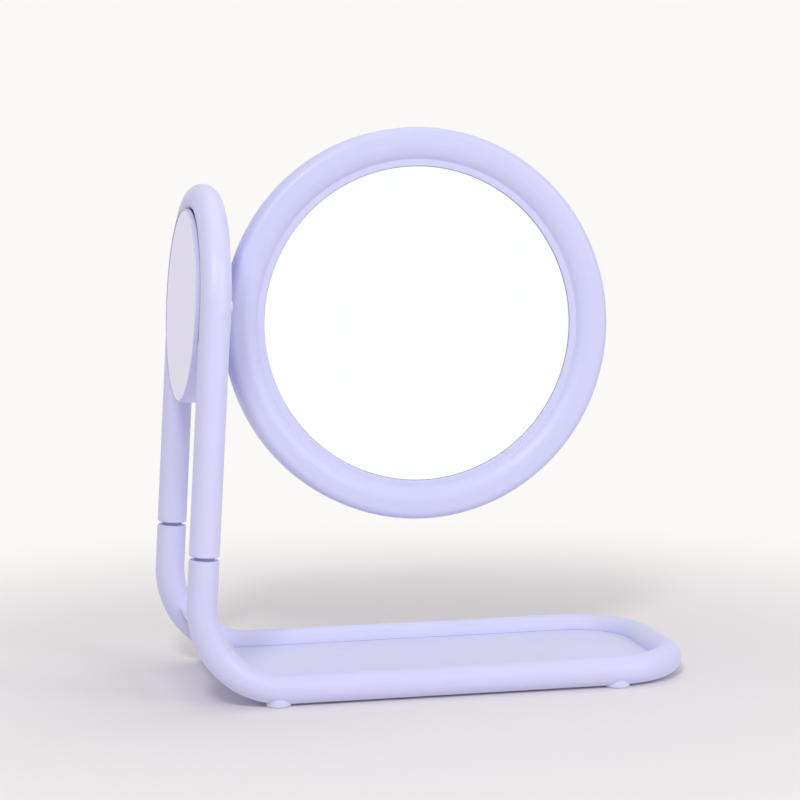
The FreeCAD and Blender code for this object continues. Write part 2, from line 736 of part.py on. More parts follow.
# Large mirror: two ring shells that meet on the mid-plane, with a glass in each
GLASS_FACE = "(mirror_pad_thickness / 2 + mirror_glass_thickness)"
RING_TOP = "(ring_flank + ring_shoulder)"
CROWN_OUTSIDE = "(" + RING_OUTSIDE + " - ring_shoulder)"
CROWN_INSIDE = "(" + CROWN_OUTSIDE + " - ring_crown_width)"
LIP = "(mirror_glass_dia / 2 - lip_overlap)"
CREASE = "(" + LIP + " + lip_width)"
LIP_START = "(" + CREASE + " + crease_height - lip_height)"
SLOPE_WIDTH = "(" + CROWN_INSIDE + " - " + CREASE + ")"
SLOPE_DROP = "(" + RING_TOP + " - crease_height)"


def make_ring_shell(label, place):
    shell = turned_body(label, [
        (RING_OUTSIDE + " - seam_ease", "0"),
        (RING_OUTSIDE, "seam_ease"),
        (RING_OUTSIDE, "ring_flank", "ring_shoulder"),
        (CROWN_OUTSIDE, RING_TOP),
        (CROWN_INSIDE, RING_TOP,
         "(%s * %s + %s * %s) / (2 * %s)" % (SLOPE_WIDTH, SLOPE_WIDTH, SLOPE_DROP, SLOPE_DROP,
                                             SLOPE_DROP)),
        (CREASE, "crease_height"),
        (LIP_START, "lip_height"),
        (LIP, "lip_height"),
        (LIP, GLASS_FACE),
        (GLASS_BORE, GLASS_FACE),
        (GLASS_BORE, "0")], "V_Axis")
    turn(shell, [
        (CAVITY_INSIDE, "0"),
        (CAVITY_OUTSIDE, "0"),
        (CAVITY_OUTSIDE, "ring_flank"),
        (CROWN_OUTSIDE, RING_TOP + " - ring_wall"),
        (CROWN_INSIDE, RING_TOP + " - ring_wall"),
        (CAVITY_INSIDE, "crease_height - crease_wall")], "V_Axis", cut=True)
    bore(shell, "neck_dia / 2 + fit_clearance", "2 * ring_wall",
         Vector(value_of("-" + RING_OUTSIDE + " - ring_wall / 2"), 0, 0), AXIAL)
    shell.Placement = place


flipped = Placement(Vector(), Rotation(Vector(1, 0, 0), 180))
make_ring_shell("ring_front_shell", mirror_place)
make_ring_shell("ring_rear_shell", mirror_place * flipped)
for label, place in (("front_mirror_glass", mirror_place),
                     ("rear_mirror_glass", mirror_place * flipped)):
    turned_body(label, [
        ("0", "mirror_pad_thickness / 2"),
        ("mirror_glass_dia / 2", "mirror_pad_thickness / 2"),
        ("mirror_glass_dia / 2", GLASS_FACE),
        ("0", GLASS_FACE)], "V_Axis").Placement = place
pad_radius = "mirror_glass_dia / 2 - pad_margin"
turned_body("mirror_pad", [
    ("0", "-mirror_pad_thickness / 2"),
    (pad_radius, "-mirror_pad_thickness / 2"),
    (pad_radius, "mirror_pad_thickness / 2"),
    ("0", "mirror_pad_thickness / 2")], "V_Axis").Placement = mirror_place

# Anchor: an arc-shaped block, trapped between the ring shells, that grips the shaft's tang
shaft_anchor = new_body("shaft_anchor")
ANCHOR_HALF = "(ring_flank - anchor_side_gap)"
turn(shaft_anchor, [
    (ANCHOR_INSIDE, "-" + ANCHOR_HALF),
    (ANCHOR_OUTSIDE, "-" + ANCHOR_HALF),
    (ANCHOR_OUTSIDE, ANCHOR_HALF),
    (ANCHOR_INSIDE, ANCHOR_HALF)], "V_Axis", angle="anchor_angle")
bore(shaft_anchor, "tang_dia / 2", "ring_width", Vector(value_of(RING_OUTSIDE), 0, 0), -AXIAL)
bore(shaft_anchor, "anchor_pin_dia / 2", "4 * " + ANCHOR_HALF,
     Vector(anchor_middle, 0, value_of("-2 * " + ANCHOR_HALF)), Vector(0, 0, 1))
shaft_anchor.Placement = mirror_place * Placement(Vector(), turned_over)
turned_body("anchor_pin", [
    ("0", "-" + ANCHOR_HALF),
    ("anchor_pin_dia / 2", "-" + ANCHOR_HALF),
    ("anchor_pin_dia / 2", ANCHOR_HALF),
    ("0", ANCHOR_HALF)], "V_Axis").Placement = mirror_place * Placement(
        Vector(-anchor_middle, 0, 0), Rotation())

doc.recompute()
faults = [item.Name for item in doc.Objects if "Invalid" in item.State or "Error" in item.State]
faults += [part.Label for part in SUB_PARTS if part.Shape.isNull() or not part.Shape.isValid()]
if faults:
    raise RuntimeError("failed objects: " + ", ".join(faults))
os.makedirs("parts", exist_ok=True)
for part in SUB_PARTS:
    part.Shape.exportStep("parts/%s.step" % part.Label)
    box = part.Shape.BoundBox
    print("%-20s solids %d volume %9.1f mm3, x %.1f..%.1f y %.1f..%.1f z %.1f..%.1f" % (
        part.Label, len(part.Shape.Solids), part.Shape.Volume,
        box.XMin, box.XMax, box.YMin, box.YMax, box.ZMin, box.ZMax))
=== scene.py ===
"""Table mirror on a tray stand: studio, finish of every piece, and the mirror's turned frame."""

import json
import math

import bpy
from mathutils import Matrix, Vector


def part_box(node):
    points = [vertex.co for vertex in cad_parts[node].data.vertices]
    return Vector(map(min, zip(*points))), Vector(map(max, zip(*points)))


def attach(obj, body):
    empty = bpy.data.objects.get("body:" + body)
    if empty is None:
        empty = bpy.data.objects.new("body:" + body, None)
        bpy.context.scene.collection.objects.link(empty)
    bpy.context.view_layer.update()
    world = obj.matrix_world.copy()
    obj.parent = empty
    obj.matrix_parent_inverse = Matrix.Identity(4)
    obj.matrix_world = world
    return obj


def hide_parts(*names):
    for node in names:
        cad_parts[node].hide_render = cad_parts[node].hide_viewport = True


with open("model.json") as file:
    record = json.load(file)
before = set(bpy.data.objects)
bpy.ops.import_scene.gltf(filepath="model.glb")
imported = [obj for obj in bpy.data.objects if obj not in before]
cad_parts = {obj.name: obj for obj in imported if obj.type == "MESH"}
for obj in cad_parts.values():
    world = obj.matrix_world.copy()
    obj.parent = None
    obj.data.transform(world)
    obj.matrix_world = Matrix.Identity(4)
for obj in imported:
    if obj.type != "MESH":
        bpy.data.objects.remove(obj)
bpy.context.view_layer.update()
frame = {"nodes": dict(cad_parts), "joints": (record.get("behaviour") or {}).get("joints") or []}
scene = bpy.context.scene


# Camera: a long lens a good metre in front of the mirror, a little to its left and above it.
# It looks slightly down, so that the tray's floor shows behind its front rail.
camera_place = Vector((-0.3014, -1.2440, 0.2890))
camera_yaw = math.radians(13.123)
camera_pitch = math.radians(6.952)
camera_roll = math.radians(-0.267)
camera_data = bpy.data.cameras.new("camera")
camera_data.sensor_width = 36
camera_data.lens = 121.54
camera_data.clip_start = 0.05
camera_data.clip_end = 50
camera = bpy.data.objects.new("camera", camera_data)
camera.matrix_world = (
    Matrix.Translation(camera_place)
    @ Matrix.Rotation(-camera_yaw, 4, "Z")
    @ Matrix.Rotation(math.pi / 2 - camera_pitch, 4, "X")
    @ Matrix.Rotation(camera_roll, 4, "Z"))
scene.collection.objects.link(camera)
scene.camera = camera
scene.view_settings.view_transform = "Standard"


# Floor: a plain pale table top, painted matt. Away from the object it fades into the colour of
# the backdrop, and what mirrors and gloss see of it is plain white.
backdrop_colour = (0.965, 0.945, 0.935, 1)
white = (1, 1, 1, 1)
floor_colour = (0.85, 0.805, 0.815, 1)
floor_roughness = 0.7
floor_half = 4.0
fade_start = 0.10
fade_end = 0.50


def new_node(tree, kind, **settings):
    """New node of that kind in the tree, with its properties set."""
    node = tree.nodes.new(kind)
    for key, value in settings.items():
        setattr(node, key, value)
    return node


def feed(tree, socket, value):
    """Gives the input socket its value: another socket is linked, and a plain value is set."""
    if isinstance(value, bpy.types.NodeSocket):
        tree.links.new(value, socket)
    else:
        socket.default_value = value


def combine(tree, operation, first, second):
    """Math node of two values, each a number or a socket."""
    node = new_node(tree, "ShaderNodeMath", operation=operation)
    feed(tree, node.inputs[0], first)
    feed(tree, node.inputs[1], second)
    return node.outputs[0]


def ramp(tree, value, low, high, to_low=0.0, to_high=1.0, curve="SMOOTHSTEP"):
    """Value mapped smoothly from low..high to to_low..to_high, each a number or a socket."""
    span = new_node(tree, "ShaderNodeMapRange", interpolation_type=curve)
    feed(tree, span.inputs["Value"], value)
    feed(tree, span.inputs["From Min"], low)
    feed(tree, span.inputs["From Max"], high)
    feed(tree, span.inputs["To Min"], to_low)
    feed(tree, span.inputs["To Max"], to_high)
    return span.outputs["Result"]


def blend_colour(tree, base, over, mask):
    """The base colour with the colour over laid on it by the mask."""
    mix = new_node(tree, "ShaderNodeMix", data_type="RGBA")
    feed(tree, mix.inputs["A"], base)
    feed(tree, mix.inputs["B"], over)
    feed(tree, mix.inputs["Factor"], mask)
    return mix.outputs["Result"]


def ray_kinds(tree):
    """Two sockets: 1 for what the camera sees directly, and 1 for what gloss and glass see."""
    path = new_node(tree, "ShaderNodeLightPath").outputs
    shiny = combine(tree, "MAXIMUM", path["Is Glossy Ray"], path["Is Transmission Ray"])
    return path["Is Camera Ray"], shiny


def mix_shaders(tree, share, first, second, surface):
    """The surface gets the first shader, and the given share of the second."""
    mixed = new_node(tree, "ShaderNodeMixShader")
    feed(tree, mixed.inputs["Fac"], share)
    feed(tree, mixed.inputs[1], first)
    feed(tree, mixed.inputs[2], second)
    feed(tree, surface, mixed.outputs["Shader"])


def new_material(name):
    """New material, its node tree and its Principled shader."""
    material = bpy.data.materials.new(name)
    material.use_nodes = True
    return material, material.node_tree, material.node_tree.nodes["Principled BSDF"]


floor_paint, tree, paint = new_material("floor_paint")
paint.inputs["Base Color"].default_value = floor_colour
paint.inputs["Roughness"].default_value = floor_roughness
distance = new_node(tree, "ShaderNodeVectorMath", operation="LENGTH")
feed(tree, distance.inputs[0], new_node(tree, "ShaderNodeTexCoord").outputs["Object"])
fade = ramp(tree, distance.outputs["Value"], fade_start, fade_end, curve="SMOOTHERSTEP")
camera_ray, shiny_ray = ray_kinds(tree)
far_and_seen = combine(tree, "MULTIPLY", fade, camera_ray)
glow = new_node(tree, "ShaderNodeEmission")
feed(tree, glow.inputs["Color"], blend_colour(tree, backdrop_colour, white, shiny_ray))
mix_shaders(tree, combine(tree, "MAXIMUM", far_and_seen, shiny_ray), paint.outputs["BSDF"],
            glow.outputs["Emission"], tree.nodes["Material Output"].inputs["Surface"])
floor_mesh = bpy.data.meshes.new("floor")
floor_corners = [(-floor_half, -floor_half, 0), (floor_half, -floor_half, 0),
                 (floor_half, floor_half, 0), (-floor_half, floor_half, 0)]
floor_mesh.from_pydata(floor_corners, [], [(0, 1, 2, 3)])
floor_mesh.materials.append(floor_paint)
floor = bpy.data.objects.new("floor", floor_mesh)
scene.collection.objects.link(floor)


# Backdrop and room light: an even pale room. The camera sees the backdrop's colour, mirrors and
# gloss see plain white, and the light itself stays at a plain level.
room_colour = (0.985, 0.985, 1.0, 1)
room_light = 0.48
scene.world = bpy.data.worlds.new("room")
scene.world.use_nodes = True
tree = scene.world.node_tree
lighting = tree.nodes["Background"]
lighting.inputs["Color"].default_value = room_colour
lighting.inputs["Strength"].default_value = room_light
camera_ray, shiny_ray = ray_kinds(tree)
shown = new_node(tree, "ShaderNodeBackground")
feed(tree, shown.inputs["Color"], blend_colour(tree, backdrop_colour, white, shiny_ray))
mix_shaders(tree, combine(tree, "MAXIMUM", camera_ray, shiny_ray),
            lighting.outputs["Background"], shown.outputs["Background"],
            tree.nodes["World Output"].inputs["Surface"])


# Lamps: two large soft boxes in front, one to each side, and a wider one overhead. All are aimed
# at the middle of the object.
lamp_target = Vector((0, 0, 0.13))


def soft_box(name, place, size, power):
    """Round soft box aimed at the target, with its size in metres and its power in watts."""
    lamp = bpy.data.lights.new(name, "AREA")
    lamp.shape = "DISK"
    lamp.size = size
    lamp.energy = power
    holder = bpy.data.objects.new(name, lamp)
    aim = (lamp_target - Vector(place)).to_track_quat("-Z", "Y")
    holder.matrix_world = Matrix.Translation(place) @ aim.to_matrix().to_4x4()
    scene.collection.objects.link(holder)


soft_box("key_lamp", place=(-0.70, -1.60, 1.55), size=0.45, power=16.8)
soft_box("fill_lamp", place=(1.2, -1.4, 0.8), size=0.8, power=8.0)
soft_box("top_lamp", place=(0.1, 0.35, 1.7), size=1.2, power=4.0)


# Stand frame: a round tube bent into the tray's loop and up into two leg stubs, moulded in lilac
# ABS. The melt leaves a slow drift of tone and the mould a fine spark-eroded grain, and use has
# left a few faint rubs and a little dust.
lilac = (0.652, 0.650, 0.915, 1)
dust_colour = (0.86, 0.85, 0.84, 1)
drift_scale = 16.0
mottle_scale = 230.0
fleck_share = 0.012
rub_courses = (((0.3, 0.2, 0.5), (0.06, 1.0, 1.0)), ((1.1, 0.7, 1.9), (1.0, 0.05, 1.0)))
rub_patch_scale = 22.0
rub_dulling = 0.12
rub_depth = 0.5
dust_cloud_scale = 30.0
dust_dulling = 0.5


def new_group(name, inputs, outputs):
    """Shader group with float inputs {name: default} and float outputs, and its inner sockets."""
    group = bpy.data.node_groups.new(name, "ShaderNodeTree")
    for title, value in inputs.items():
        socket = group.interface.new_socket(title, in_out="INPUT", socket_type="NodeSocketFloat")
        socket.default_value = value
    for title in outputs:
        group.interface.new_socket(title, in_out="OUTPUT", socket_type="NodeSocketFloat")
    given = new_node(group, "NodeGroupInput").outputs
    made = new_node(group, "NodeGroupOutput").inputs
    return group, given, made


def object_place(tree):
    """Socket with the Object coordinates."""
    return new_node(tree, "ShaderNodeTexCoord").outputs["Object"]


def noise(tree, place, scale, detail=2.0, roughness=0.5):
    """Noise of that many features a metre; the scale is a number or a socket."""
    texture = new_node(tree, "ShaderNodeTexNoise")
    feed(tree, texture.inputs["Vector"], place)
    feed(tree, texture.inputs["Scale"], scale)
    feed(tree, texture.inputs["Detail"], detail)
    feed(tree, texture.inputs["Roughness"], roughness)
    return texture.outputs["Fac"]


def make_mould_group():
    """Tone drift, satin roughness and grain height of a moulded surface."""
    group, given, made = new_group(
        "moulded_surface",
        {"Roughness": 0.42, "Drift": 0.03, "Grain Scale": 2400.0, "Mottle": 0.04},
        ("Tone", "Roughness", "Height"))
    place = object_place(group)
    slow = combine(group, "SUBTRACT", noise(group, place, drift_scale, detail=1.0), 0.5)
    mottled = combine(group, "SUBTRACT", noise(group, place, mottle_scale, detail=3.0), 0.5)
    drift = combine(group, "MULTIPLY", slow, given["Drift"])
    fleck = combine(group, "MULTIPLY", mottled, fleck_share)
    tone = combine(group, "ADD", combine(group, "ADD", drift, fleck), 1.0)
    uneven = combine(group, "MULTIPLY", combine(group, "ADD", mottled, slow), given["Mottle"])
    feed(group, made["Tone"], tone)
    feed(group, made["Roughness"], combine(group, "ADD", uneven, given["Roughness"]))
    feed(group, made["Height"], noise(group, place, given["Grain Scale"], roughness=0.6))
    return group


def make_rub_group():
    """Mask of short faint rubs, in two crossing directions, gathered in patches."""
    group, given, made = new_group("faint_rubs", {"Scale": 260.0, "Amount": 0.5}, ("Mask",))
    place = object_place(group)
    strokes = []
    for turn, stretch in rub_courses:
        course = new_node(group, "ShaderNodeMapping")
        feed(group, course.inputs["Vector"], place)
        feed(group, course.inputs["Rotation"], turn)
        feed(group, course.inputs["Scale"], stretch)
        streak = noise(group, course.outputs["Vector"], given["Scale"], detail=1.0)
        strokes.append(ramp(group, streak, low=0.66, high=0.74))
    patches = ramp(group, noise(group, place, rub_patch_scale), low=0.48, high=0.66)
    rubs = combine(group, "MULTIPLY", combine(group, "MAXIMUM", *strokes), patches)
    feed(group, made["Mask"], combine(group, "MULTIPLY", rubs, given["Amount"]))
    return group


def make_dust_group():
    """Mask of dust that has settled on what faces up."""
    group, given, made = new_group("settled_dust", {"Amount": 0.2, "Scale": 700.0}, ("Mask",))
    place = object_place(group)
    facing = new_node(group, "ShaderNodeSeparateXYZ")
    feed(group, facing.inputs[0], new_node(group, "ShaderNodeNewGeometry").outputs["Normal"])
    upward = ramp(group, facing.outputs["Z"], low=0.35, high=1.0)
    specks = ramp(group, noise(group, place, given["Scale"], detail=3.0), low=0.5, high=0.75,
                  to_low=0.3)
    clouds = ramp(group, noise(group, place, dust_cloud_scale), low=0.35, high=0.7, to_low=0.3)
    settled = combine(group, "MULTIPLY", combine(group, "MULTIPLY", upward, clouds), specks)
    feed(group, made["Mask"], combine(group, "MULTIPLY", settled, given["Amount"]))
    return group


def place_group(tree, group, **values):
    """Outputs of the group in a material; its inputs are named in lower case with underscores."""
    node = new_node(tree, "ShaderNodeGroup", node_tree=group)
    for key, value in values.items():
        node.inputs[key.replace("_", " ").title()].default_value = value
    return node.outputs


def tint(tree, colour, tone):
    """The colour times a tone that varies over the surface."""
    scaled = new_node(tree, "ShaderNodeVectorMath", operation="SCALE")
    scaled.inputs[0].default_value = colour[:3]
    feed(tree, scaled.inputs["Scale"], tone)
    return scaled.outputs["Vector"]


def raise_relief(tree, shader, height, depth):
    """Bump of that height on the shader, with its depth in metres."""
    bump = new_node(tree, "ShaderNodeBump")
    feed(tree, bump.inputs["Strength"], 1.0)
    feed(tree, bump.inputs["Distance"], depth)
    feed(tree, bump.inputs["Height"], height)
    feed(tree, shader.inputs["Normal"], bump.outputs["Normal"])


mould_group = make_mould_group()
rub_group = make_rub_group()
dust_group = make_dust_group()


def moulded_plastic(name, colour, roughness=0.42, grain_depth=0.000006, grain_scale=2400.0,
                    drift=0.03, mottle=0.05, rubs=0.5, dust=0.15):
    """Satin moulded plastic with grain, drift of tone, faint rubs and dust."""
    material, tree, shader = new_material(name)
    surface = place_group(tree, mould_group, roughness=roughness, drift=drift, mottle=mottle,
                          grain_scale=grain_scale)
    rubbed = place_group(tree, rub_group, amount=rubs)["Mask"]
    dusty = place_group(tree, dust_group, amount=dust)["Mask"]
    coloured = blend_colour(tree, tint(tree, colour, surface["Tone"]), dust_colour, dusty)
    feed(tree, shader.inputs["Base Color"], coloured)
    dulled = combine(tree, "ADD", surface["Roughness"],
                     combine(tree, "MULTIPLY", rubbed, rub_dulling))
    dulled = combine(tree, "ADD", dulled, combine(tree, "MULTIPLY", dusty, dust_dulling))
    feed(tree, shader.inputs["Roughness"], dulled)
    height = combine(tree, "SUBTRACT", surface["Height"],
                     combine(tree, "MULTIPLY", rubbed, rub_depth))
    raise_relief(tree, shader, height, grain_depth)
    return material


def finish_solids(material, *names):
    """Gives the material to the CAD nodes of those names."""
    for name in names:
        for slot in frame["nodes"][name].material_slots:
            slot.material = material


stand_plastic = moulded_plastic("stand_plastic", lilac)
finish_solids(stand_plastic, "base_frame")


# Tray floor: a flat ABS panel, moulded by itself and let into the loop. Its grain is coarser than
# the tube's, and things put down on it have rubbed it more.
floor_lilac = (0.67, 0.67, 0.925, 1)
floor_plastic = moulded_plastic("tray_floor_plastic", floor_lilac, roughness=0.36,
                                grain_depth=0.00002, grain_scale=1500.0, rubs=0.9, dust=0.2)
finish_solids(floor_plastic, "tray_floor")


# Feet: soft silicone pads under the long tubes, paler and duller than the frame. Each is held by
# a stem that is pressed up into its tube.
silicone = (0.68, 0.675, 0.92, 1)
foot_rubber = moulded_plastic("foot_rubber", silicone, roughness=0.62, grain_depth=0.00003,
                              grain_scale=1800.0, rubs=0.2, dust=0.05)
finish_solids(foot_rubber, "foot_front_left", "foot_rear_left", "foot_front_right",
              "foot_rear_right")


# Leg pegs: round plugs of the frame's lilac plastic, which join the arch to the two leg stubs.
# Their lilac is darkened as painted shade, for the shade inside each seam, where only a dark line
# of each shows.
seam_shade_lilac = (0.36, 0.34, 0.60, 1)
peg_plastic = moulded_plastic("peg_plastic", seam_shade_lilac, roughness=0.5)
finish_solids(peg_plastic, "leg_peg_front", "leg_peg_rear")


# Arch: one moulded tube bent over the drum and pushed onto the pegs, in the frame's lilac from
# another shot of the mould. The walls of the narrow gap between it and the drum are darkened
# with painted shade, down to where the drum comes clear of the arch.
arch_lilac = (0.668, 0.660, 0.925, 1)
# Colour of the painted shade in the gap round the drum.
gap_shade_colour = (0.075, 0.065, 0.14, 1)
arch_lean = math.radians(3.4)
drum_half = 0.0084
side_glass_recess = 0.0002
side_glass_thickness = 0.0018


def middle(name):
    """Middle of the box of a CAD node."""
    low, high = (Vector(corner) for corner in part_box(name))
    return (low + high) / 2


def turned_place(centre, axis, across=None):
    """Place at the centre with Z along the axis; X runs across, or level if that isn't given."""
    across = across or axis.cross(Vector((0, 0, 1))).normalized()
    turn = Matrix((across, axis.cross(across), axis)).transposed()
    return Matrix.Translation(centre) @ turn.to_4x4()


def around_axis(tree, place):
    """Distance from the place's Z axis, distance along it either way, and distance along its Y."""
    spot = new_node(tree, "ShaderNodeMapping", vector_type="TEXTURE")
    feed(tree, spot.inputs["Vector"], object_place(tree))
    feed(tree, spot.inputs["Location"], place.to_translation())
    feed(tree, spot.inputs["Rotation"], place.to_euler())
    flat = new_node(tree, "ShaderNodeVectorMath", operation="MULTIPLY")
    feed(tree, flat.inputs[0], spot.outputs["Vector"])
    feed(tree, flat.inputs[1], (1, 1, 0))
    radius = new_node(tree, "ShaderNodeVectorMath", operation="LENGTH")
    feed(tree, radius.inputs[0], flat.outputs["Vector"])
    apart = new_node(tree, "ShaderNodeSeparateXYZ")
    feed(tree, apart.inputs[0], spot.outputs["Vector"])
    reach = combine(tree, "ABSOLUTE", apart.outputs["Z"], 0.0)
    return radius.outputs["Value"], reach, apart.outputs["Y"]


drum_axis = Vector((math.cos(arch_lean), 0, -math.sin(arch_lean)))
glass_to_middle = drum_half - side_glass_recess - side_glass_thickness / 2
drum_place = turned_place(middle("side_mirror_glass") + drum_axis * glass_to_middle, drum_axis)


def make_gap_shade_group():
    """Painted shade mask between drum and arch: none at the clear limits, full at the deep ones."""
    group, given, made = new_group(
        "gap_grime", {"Clear Radius": 0.0, "Deep Radius": 0.0, "Clear Reach": 0.0,
                      "Deep Reach": 0.0, "Clear Drop": 0.0155, "Deep Drop": 0.0115,
                      "Amount": 0.8}, ("Mask",))
    radius, reach, drop = around_axis(group, drum_place)
    by_radius = ramp(group, radius, given["Clear Radius"], given["Deep Radius"])
    by_reach = ramp(group, reach, given["Clear Reach"], given["Deep Reach"])
    by_drop = ramp(group, drop, given["Clear Drop"], given["Deep Drop"])
    inside = combine(group, "MULTIPLY", combine(group, "MULTIPLY", by_radius, by_reach), by_drop)
    feed(group, made["Mask"], combine(group, "MULTIPLY", inside, given["Amount"]))
    return group


def lay_gap_shade(material, **limits):
    """Lays painted shade over the material's base colour, between the limits."""
    tree = material.node_tree
    base = tree.nodes["Principled BSDF"].inputs["Base Color"]
    shade_mask = place_group(tree, gap_shade_group, **limits)["Mask"]
    feed(tree, base, blend_colour(tree, base.links[0].from_socket, gap_shade_colour, shade_mask))


gap_shade_group = make_gap_shade_group()
arch_plastic = moulded_plastic("arch_plastic", arch_lilac, drift=0.035)
# Painted shade on the arch's walls of the gap round the drum.
lay_gap_shade(arch_plastic, clear_radius=0.0454, deep_radius=0.0449, clear_reach=0.0064,
          deep_reach=0.006)
finish_solids(arch_plastic, "arch")


# Drum: two moulded halves round the small mirror, closed by three screws that the mirror hides.
# A pin on each side holds the drum in the arch, under a domed lilac cap.
cap_lilac = (0.63, 0.634, 0.905, 1)
drum_plastic = moulded_plastic("drum_plastic", lilac, roughness=0.4)
# The drum's rim gets the same painted shade, where it runs in the arch.
lay_gap_shade(drum_plastic, clear_radius=0.0453, deep_radius=0.045, clear_reach=0.0067,
          deep_reach=0.0061)
finish_solids(drum_plastic, "drum_front_shell", "drum_back_shell")
cap_plastic = moulded_plastic("cap_plastic", cap_lilac, roughness=0.38)
finish_solids(cap_plastic, "pin_screws")


# Steel fixings: the drum's screws and cross pins, the swivel's spring and nut, and the anchor's
# pin, all zinc-plated. The plating has a cloudy grain, and tools have left dull rubs on it.
zinc = (0.62, 0.63, 0.66, 1)
zinc_roughness = 0.34
zinc_grain_depth = 0.000006
tool_rub_dulling = 0.15
zinc_plate, tree, shader = new_material("zinc_plate")
shader.inputs["Metallic"].default_value = 1.0
surface = place_group(tree, mould_group, roughness=zinc_roughness, drift=0.12, mottle=0.2,
                      grain_scale=5200.0)
rubbed = place_group(tree, rub_group, scale=900.0, amount=0.8)["Mask"]
feed(tree, shader.inputs["Base Color"], tint(tree, zinc, surface["Tone"]))
feed(tree, shader.inputs["Roughness"],
     combine(tree, "ADD", surface["Roughness"],
             combine(tree, "MULTIPLY", rubbed, tool_rub_dulling)))
raise_relief(tree, shader, surface["Height"], zinc_grain_depth)
finish_solids(zinc_plate, "drum_screws", "drum_pin_front", "drum_pin_rear", "disc_spring",
              "lock_nut", "anchor_pin")


# Mirrors: silvered float glass under each rim, clean but for a faint bloom of fingermarks. A thin
# line of painted shade runs along each rim, where the glass meets its frame.
rim_shade_start = 0.00045
rim_shade_full = 0.00015
rim_shade_colour = (0.34, 0.34, 0.38, 1)
smear_scale = 34.0
glass_rub_dulling = 0.02
lip_radius = 0.0746
side_rim_radius = 0.0444
front_glass = middle("front_mirror_glass")
rear_glass = middle("rear_mirror_glass")
mirror_place = turned_place((front_glass + rear_glass) / 2, (front_glass - rear_glass).normalized(),
                            across=Vector(frame["joints"][0]["axis"]))


def silvered_glass(name, colour, edge_tint, roughness, bloom, place, rim_radius):
    """Mirror centred on the place, with a faint bloom and a thin line of painted shade along its
    rim.
    """
    material, tree, shader = new_material(name)
    shader.inputs["Metallic"].default_value = 1.0
    shader.inputs["Specular Tint"].default_value = edge_tint
    surface = place_group(tree, mould_group, roughness=roughness, drift=0.01, mottle=0.01)
    rubbed = place_group(tree, rub_group, scale=420.0, amount=1.0)["Mask"]
    smear = ramp(tree, noise(tree, object_place(tree), smear_scale, detail=3.0),
                 low=0.5, high=0.72)
    radius = around_axis(tree, place)[0]
    rim_shade = ramp(tree, radius, rim_radius - rim_shade_start, rim_radius - rim_shade_full)
    coloured = blend_colour(tree, tint(tree, colour, surface["Tone"]), rim_shade_colour, rim_shade)
    feed(tree, shader.inputs["Base Color"], coloured)
    dulled = combine(tree, "ADD", surface["Roughness"], combine(tree, "MULTIPLY", smear, bloom))
    dulled = combine(tree, "ADD", dulled, combine(tree, "MULTIPLY", rubbed, glass_rub_dulling))
    feed(tree, shader.inputs["Roughness"], dulled)
    return material


large_mirror = silvered_glass(
    "large_mirror", colour=(0.99, 0.995, 0.995, 1), edge_tint=white, roughness=0.02, bloom=0.03,
    place=mirror_place, rim_radius=lip_radius)
finish_solids(large_mirror, "front_mirror_glass", "rear_mirror_glass")
# The small mirror's grey-lilac colour and edge tint are a painted reflection of the shaded lilac
# surroundings it faces.
side_mirror = silvered_glass(
    "side_mirror", colour=(0.76, 0.745, 0.84, 1), edge_tint=(0.84, 0.815, 0.90, 1),
    roughness=0.09, bloom=0.06, place=drum_place, rim_radius=side_rim_radius)
finish_solids(side_mirror, "side_mirror_glass")


# Foam pads: white closed-cell foam, sticky on both sides. One holds the small mirror in the drum,
# and the other lies between the two large glasses.
foam_white = (0.83, 0.83, 0.81, 1)
foam = moulded_plastic("foam_pad", foam_white, roughness=0.85, grain_depth=0.00015,
                       grain_scale=1600.0, rubs=0.0, dust=0.0)
finish_solids(foam, "side_mirror_pad", "mirror_pad")


# Swivel: a lilac acetal shaft in a natural acetal bush between two washers. A natural plastic
# block in the ring grips the shaft's tang.
shaft_lilac = (0.60, 0.58, 0.88, 1)
natural_acetal = (0.82, 0.82, 0.79, 1)
natural_plastic = (0.76, 0.76, 0.77, 1)
shaft_plastic = moulded_plastic("shaft_plastic", shaft_lilac, roughness=0.32)
finish_solids(shaft_plastic, "swivel_shaft")
bush_plastic = moulded_plastic("bush_plastic", natural_acetal, roughness=0.36)
finish_solids(bush_plastic, "swivel_bush", "inner_washer", "outer_washer")
anchor_plastic = moulded_plastic("anchor_plastic", natural_plastic, roughness=0.48)
finish_solids(anchor_plastic, "shaft_anchor")


# Ring: two moulded shells that meet on the mirror's mid-plane and trap both glasses. Each is one
# turned profile: a round shoulder, a crown, a slope that runs softly into the lip over the glass,
# and the hollow behind. The swivel's neck leaves through a hole that the shells share.
ring_lilac = (0.620, 0.622, 0.899, 1)
ring_outside = 0.0928
ring_flank = 0.0044
ring_shoulder = 0.004
ring_crown = 0.0036
ring_top = ring_flank + ring_shoulder
ring_wall = 0.0022
seam_ease = 0.00025
slope_radius = 0.008976
crease_round = 0.001
lip_height = 0.0045
lip_round = 0.00035
glass_face = 0.0035
glass_seat = 0.0764
neck_hole = 0.00505
hole_length = 3 * ring_wall
hole_sides = 48
turning_steps = 288
sharp_angle = math.radians(35)


def arc(centre, radius, start, end, steps):
    """Points along an arc, from one angle in degrees to the other."""
    turns = [math.radians(start + (end - start) * step / steps) for step in range(steps + 1)]
    return [(centre[0] + radius * math.cos(turn), centre[1] + radius * math.sin(turn))
            for turn in turns]


